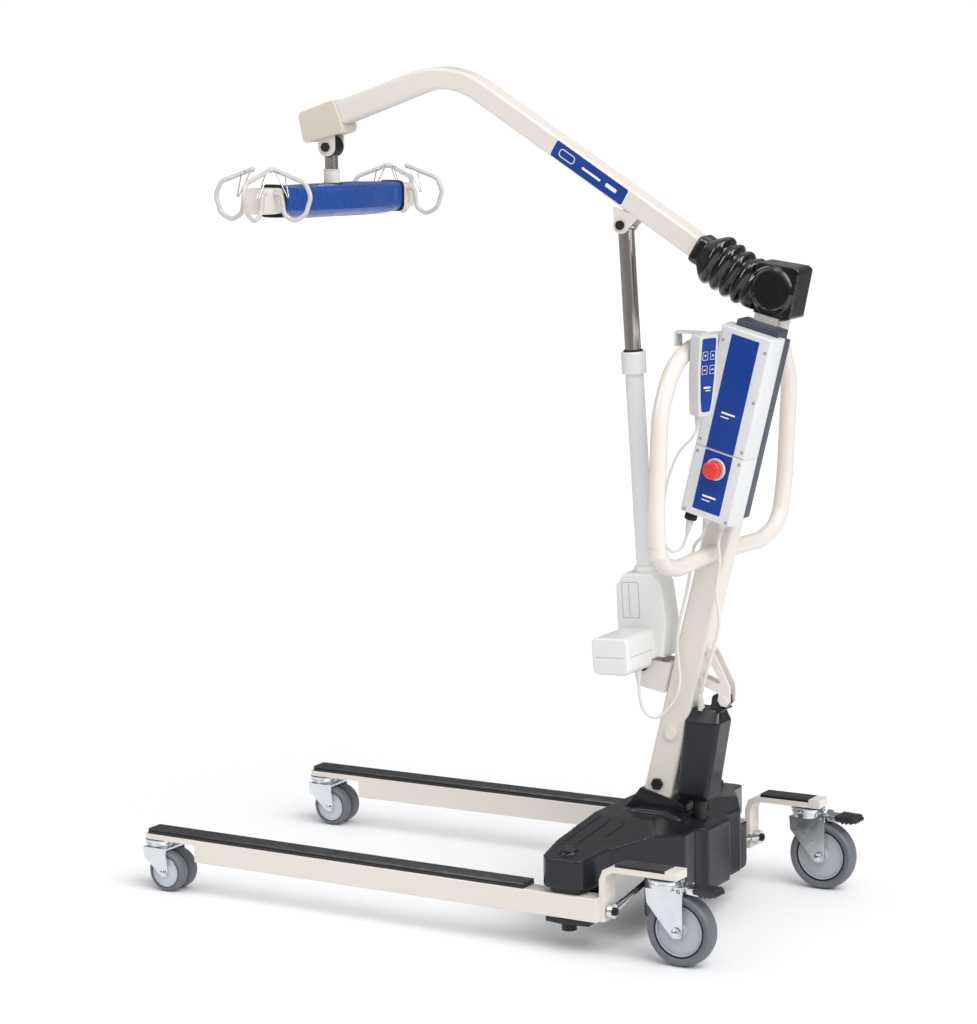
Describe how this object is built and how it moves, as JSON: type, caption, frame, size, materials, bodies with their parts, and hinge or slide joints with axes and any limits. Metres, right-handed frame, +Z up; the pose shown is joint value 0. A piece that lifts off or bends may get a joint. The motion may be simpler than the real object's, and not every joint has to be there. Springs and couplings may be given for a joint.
{
  "type": "patient lift hoist",
  "caption": "Powered floor hoist for moving a seated or lying person: raked mast, bent boom with a sling spreader bar, splaying legs on casters, control box and hand pendant.",
  "frame": {"origin": "centre of the bounding box in X and Y, on the floor", "axes": "+Z up, -Y towards the patient (the legs' free ends), +X the hoist's left side, where the control box is"},
  "size_m": [0.7245, 1.2009, 1.4889],
  "materials": {
    "cream_paint": "smooth powder coat",
    "black_cover": "fine textured",
    "black_steel": "satin",
    "black_rubber": "glossy moulded",
    "grip_rubber": "ribbed",
    "light_plastic": "fine satin",
    "box_plastic": "fine satin",
    "back_plate": "fine satin",
    "red_button": "gloss",
    "grey_plastic": "satin",
    "cap_plastic": "smooth",
    "zinc_steel": "zinc plated",
    "chrome": "polished",
    "aluminium_tube": "satin anodised",
    "tyre": "grey non-marking",
    "wheel_core": "moulded",
    "blue_vinyl": "coated",
    "cord": "smooth"
  },
  "bodies": {
    "frame": {"mast": "cream_paint", "mast_socket": "black_cover", "base_frame": "black_steel", "base_cover": "black_cover", "frame_bolts": "black_steel", "push_handles": "cream_paint", "box_mount_plate": "back_plate", "control_box": "box_plastic", "cable_plugs": "grey_plastic", "pendant_case": "grey_plastic", "pendant_holder": "grey_plastic", "boot_housing": "black_rubber", "actuator_hanger": "cream_paint", "leg_motor_shroud": "black_cover", "pendant_cord": "cord", "lift_motor_cord": "cord", "leg_motor_cord": "cord"},
    "boom": {"boom_tube": "cream_paint", "boom_end_cap": "cap_plastic", "boom_bolts": "zinc_steel", "boom_bellows": "black_rubber"},
    "lift_actuator": {"lift_motor_housing": "light_plastic", "lift_outer_tube": "aluminium_tube"},
    "lift_rod": {"piston_rod": "chrome"},
    "push_rod": {"leg_push_rod": "black_steel"},
    "battery": {"battery_pack": "box_plastic"},
    "estop": {"estop_knob": "red_button"},
    "swivel": {"swivel_joint": "chrome"},
    "cradle": {"cradle_bar": "cream_paint", "cradle_pad": "blue_vinyl", "sling_hooks": "cream_paint"},
    "btn_raise": {"button_raise": "box_plastic"},
    "btn_lower": {"button_lower": "box_plastic"},
    "btn_open": {"button_open": "box_plastic"},
    "btn_close": {"button_close": "box_plastic"},
    "leg_body_left": {"leg_left": "cream_paint", "leg_strips_left": "grip_rubber"},
    "rear_swivel_left": {"rear_fork_left": "zinc_steel"},
    "pedal_left": {"rear_pedal_left": "black_cover"},
    "rear_wheel_left": {"rear_tyre_left": "tyre", "rear_wheel_core_left": "wheel_core"},
    "front_swivel_left": {"front_fork_left": "zinc_steel"},
    "front_wheel_left": {"front_wheels_left": "tyre"},
    "tie_left": {"tie_rod_left": "zinc_steel"},
    "leg_body_right": {"leg_right": "cream_paint", "leg_strips_right": "grip_rubber"},
    "rear_swivel_right": {"rear_fork_right": "zinc_steel"},
    "pedal_right": {"rear_pedal_right": "black_cover"},
    "rear_wheel_right": {"rear_tyre_right": "tyre", "rear_wheel_core_right": "wheel_core"},
    "front_swivel_right": {"front_fork_right": "zinc_steel"},
    "front_wheel_right": {"front_wheels_right": "tyre"},
    "tie_right": {"tie_rod_right": "zinc_steel"},
    "gate_body_1": {"gate_1": "zinc_steel"},
    "gate_body_2": {"gate_2": "zinc_steel"},
    "gate_body_3": {"gate_3": "zinc_steel"},
    "gate_body_4": {"gate_4": "zinc_steel"},
    "gate_body_5": {"gate_5": "zinc_steel"},
    "gate_body_6": {"gate_6": "zinc_steel"}
  },
  "joints": [
    {"name": "boom_hinge", "type": "hinge", "parent": "frame", "child": "boom", "pos_m": [0, 0.54964, 1.12073], "axis": [1, 0, 0], "range_deg": [-8, 30]},
    {"name": "actuator_pivot", "type": "hinge", "parent": "frame", "child": "lift_actuator", "pos_m": [0, 0.29995, 0.45], "axis": [1, 0, 0], "range_deg": [-0.7, 2.7]},
    {"name": "rod_slide", "type": "slide", "parent": "lift_actuator", "child": "lift_rod", "axis": [0, -0.057, 0.9984], "range_m": [-0.166, 0.043]},
    {"name": "leg_drive_slide", "type": "slide", "parent": "frame", "child": "push_rod", "axis": [0, 0, 1], "range_m": [0, 0.045]},
    {"name": "leg_spread_left", "type": "hinge", "parent": "frame", "child": "leg_body_left", "pos_m": [0.289, 0.29145, 0.08], "axis": [0, 0, 1], "range_deg": [0, 9.05]},
    {"name": "rear_swivel_left", "type": "hinge", "parent": "leg_body_left", "child": "rear_swivel_left", "pos_m": [0.2786, 0.47362, 0.14], "axis": [0, 0, 1], "continuous": true},
    {"name": "rear_wheel_left", "type": "hinge", "parent": "rear_swivel_left", "child": "rear_wheel_left", "pos_m": [0.27905, 0.50362, 0.0625], "axis": [0.9999, -0.0148, 0], "continuous": true},
    {"name": "brake_pedal_left", "type": "hinge", "parent": "rear_swivel_left", "child": "pedal_left", "pos_m": [0.27912, 0.50862, 0.134], "axis": [0.9999, -0.0148, 0], "range_deg": [-12, 0]},
    {"name": "front_swivel_left", "type": "hinge", "parent": "leg_body_left", "child": "front_swivel_left", "pos_m": [0.27618, -0.57246, 0.085], "axis": [0, 0, 1], "continuous": true},
    {"name": "front_wheel_left", "type": "hinge", "parent": "front_swivel_left", "child": "front_wheel_left", "pos_m": [0.27658, -0.54546, 0.0375], "axis": [0.9999, -0.0148, 0], "continuous": true},
    {"name": "tie_pivot_left", "type": "hinge", "parent": "push_rod", "child": "tie_left", "pos_m": [0.038, 0.37195, 0.122], "axis": [0, 1, 0], "range_deg": [0, 10.8]},
    {"name": "leg_spread_right", "type": "hinge", "parent": "frame", "child": "leg_body_right", "pos_m": [-0.289, 0.29145, 0.08], "axis": [0, 0, 1], "range_deg": [-9.05, 0]},
    {"name": "rear_swivel_right", "type": "hinge", "parent": "leg_body_right", "child": "rear_swivel_right", "pos_m": [-0.2786, 0.47362, 0.14], "axis": [0, 0, 1], "continuous": true},
    {"name": "rear_wheel_right", "type": "hinge", "parent": "rear_swivel_right", "child": "rear_wheel_right", "pos_m": [-0.27905, 0.50362, 0.0625], "axis": [0.9999, 0.0148, 0], "continuous": true},
    {"name": "brake_pedal_right", "type": "hinge", "parent": "rear_swivel_right", "child": "pedal_right", "pos_m": [-0.27912, 0.50862, 0.134], "axis": [0.9999, 0.0148, 0], "range_deg": [-12, 0]},
    {"name": "front_swivel_right", "type": "hinge", "parent": "leg_body_right", "child": "front_swivel_right", "pos_m": [-0.27618, -0.57246, 0.085], "axis": [0, 0, 1], "continuous": true},
    {"name": "front_wheel_right", "type": "hinge", "parent": "front_swivel_right", "child": "front_wheel_right", "pos_m": [-0.27658, -0.54546, 0.0375], "axis": [0.9999, 0.0148, 0], "continuous": true},
    {"name": "tie_pivot_right", "type": "hinge", "parent": "push_rod", "child": "tie_right", "pos_m": [-0.038, 0.37195, 0.122], "axis": [0, 1, 0], "range_deg": [-10.8, 0]},
    {"name": "battery_lift", "type": "slide", "parent": "frame", "child": "battery", "axis": [1, 0, 0], "range_m": [0, 0.045]},
    {"name": "estop_press", "type": "slide", "parent": "frame", "child": "estop", "axis": [-1, 0, 0], "range_m": [0, 0.004], "stiffness_N_per_m": 2500},
    {"name": "press_raise", "type": "slide", "parent": "frame", "child": "btn_raise", "axis": [-0.3081, -0.9481, 0.0785], "range_m": [0, 0.0012], "stiffness_N_per_m": 1500},
    {"name": "press_lower", "type": "slide", "parent": "frame", "child": "btn_lower", "axis": [-0.3081, -0.9481, 0.0785], "range_m": [0, 0.0012], "stiffness_N_per_m": 1500},
    {"name": "press_open", "type": "slide", "parent": "frame", "child": "btn_open", "axis": [-0.3081, -0.9481, 0.0785], "range_m": [0, 0.0012], "stiffness_N_per_m": 1500},
    {"name": "press_close", "type": "slide", "parent": "frame", "child": "btn_close", "axis": [-0.3081, -0.9481, 0.0785], "range_m": [0, 0.0012], "stiffness_N_per_m": 1500},
    {"name": "cradle_swing", "type": "hinge", "parent": "boom", "child": "swivel", "pos_m": [0, -0.34855, 1.344], "axis": [1, 0, 0], "range_deg": [-60, 30]},
    {"name": "cradle_yaw", "type": "hinge", "parent": "swivel", "child": "cradle", "pos_m": [0, -0.34855, 1.284], "axis": [0, 0, 1], "continuous": true},
    {"name": "gate_1", "type": "hinge", "parent": "cradle", "child": "gate_body_1", "pos_m": [0.25221, -0.29305, 1.31503], "axis": [0.9949, 0.087, 0.0506], "range_deg": [0, 24], "stiffness_Nm_per_rad": 0.05},
    {"name": "gate_2", "type": "hinge", "parent": "cradle", "child": "gate_body_2", "pos_m": [0.25802, -0.35941, 1.31503], "axis": [-0.9949, -0.087, -0.0506], "range_deg": [0, 24], "stiffness_Nm_per_rad": 0.05},
    {"name": "gate_3", "type": "hinge", "parent": "cradle", "child": "gate_body_3", "pos_m": [0.27094, -0.30577, 1.31696], "axis": [0.0872, -0.9962, 0], "range_deg": [0, 20], "stiffness_Nm_per_rad": 0.05},
    {"name": "gate_4", "type": "hinge", "parent": "cradle", "child": "gate_body_4", "pos_m": [-0.26316, -0.33814, 1.28882], "axis": [0.9949, 0.087, 0.0506], "range_deg": [0, 24], "stiffness_Nm_per_rad": 0.05},
    {"name": "gate_5", "type": "hinge", "parent": "cradle", "child": "gate_body_5", "pos_m": [-0.25735, -0.4045, 1.28882], "axis": [-0.9949, -0.087, -0.0506], "range_deg": [0, 24], "stiffness_Nm_per_rad": 0.05},
    {"name": "gate_6", "type": "hinge", "parent": "cradle", "child": "gate_body_6", "pos_m": [-0.27619, -0.39179, 1.28897], "axis": [-0.0872, 0.9962, 0], "range_deg": [0, 20], "stiffness_Nm_per_rad": 0.05}
  ],
  "couplings": [
    {"joint": "actuator_pivot", "follows": "boom_hinge", "ratio": 0.08},
    {"joint": "rod_slide", "follows": "boom_hinge", "m_per_rad": -0.2945},
    {"joint": "leg_spread_left", "follows": "leg_drive_slide", "rad_per_m": 3.4938},
    {"joint": "leg_spread_right", "follows": "leg_drive_slide", "rad_per_m": -3.4938},
    {"joint": "tie_pivot_left", "follows": "leg_drive_slide", "rad_per_m": 4.1762},
    {"joint": "tie_pivot_right", "follows": "leg_drive_slide", "rad_per_m": -4.1762}
  ]
}
